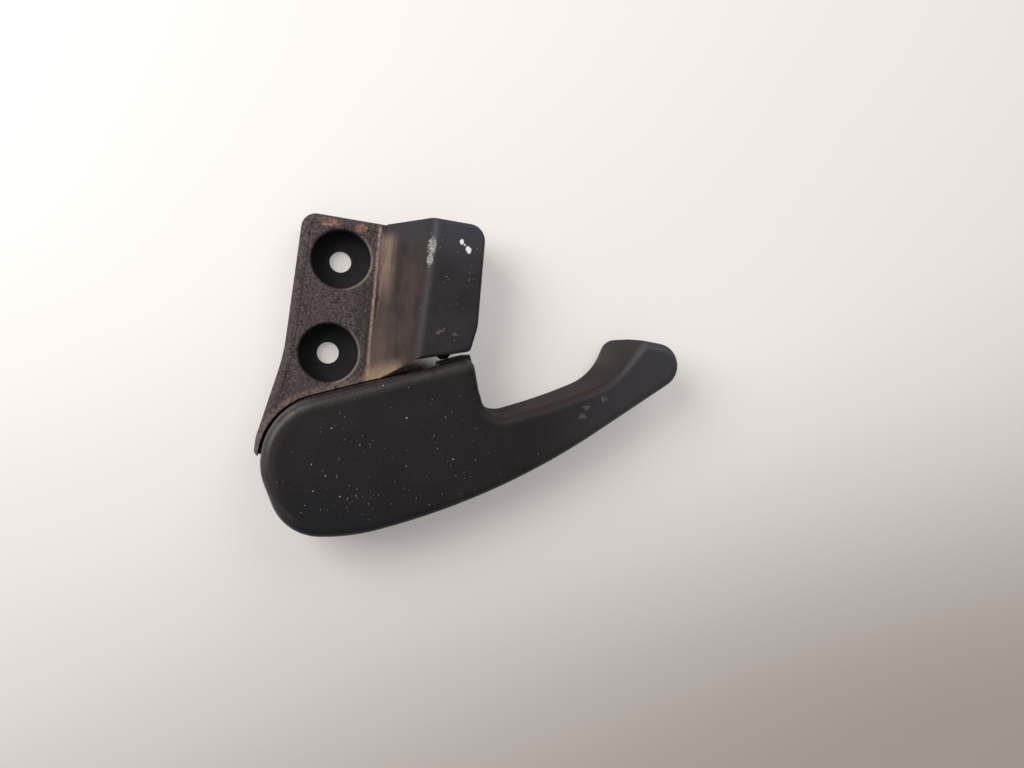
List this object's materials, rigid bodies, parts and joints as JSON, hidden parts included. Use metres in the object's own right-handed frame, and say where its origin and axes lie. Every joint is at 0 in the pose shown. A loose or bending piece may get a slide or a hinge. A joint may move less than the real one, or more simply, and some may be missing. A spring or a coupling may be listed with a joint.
{
  "type": "hood release handle",
  "caption": "Interior hood release handle: moulded bracket with two deep screw cups and a raised cable cover, and a hooked pull lever on a sprung pivot.",
  "frame": {"origin": "midway between the two screw holes, on the mounting face of the bracket", "axes": "+Z out of the mounting face towards the user, +Y from the lower to the upper screw hole, away from the lever, +X towards the grip"},
  "size_m": [0.1311, 0.102, 0.026],
  "materials": {
    "bracket_plastic": "grained, dusty",
    "lever_plastic": "satin",
    "bright_steel": "zinc plated",
    "spring_steel": "oiled spring steel",
    "buffer_rubber": "matt"
  },
  "bodies": {
    "bracket_body": {"bracket": "bracket_plastic", "rest_buffer": "buffer_rubber", "return_spring": "spring_steel"},
    "lever_body": {"pull_lever": "lever_plastic", "pivot_sleeve": "bright_steel", "pivot_washer": "bright_steel", "pivot_screw": "bright_steel"}
  },
  "joints": [
    {"name": "lever_pivot", "type": "hinge", "parent": "bracket_body", "child": "lever_body", "pos_m": [0.0043, -0.049, 0], "axis": [0, 0, -1], "range_deg": [0, 40], "stiffness_Nm_per_rad": 0.05, "springref_deg": -28.65, "deforming": ["return_spring"]}
  ]
}
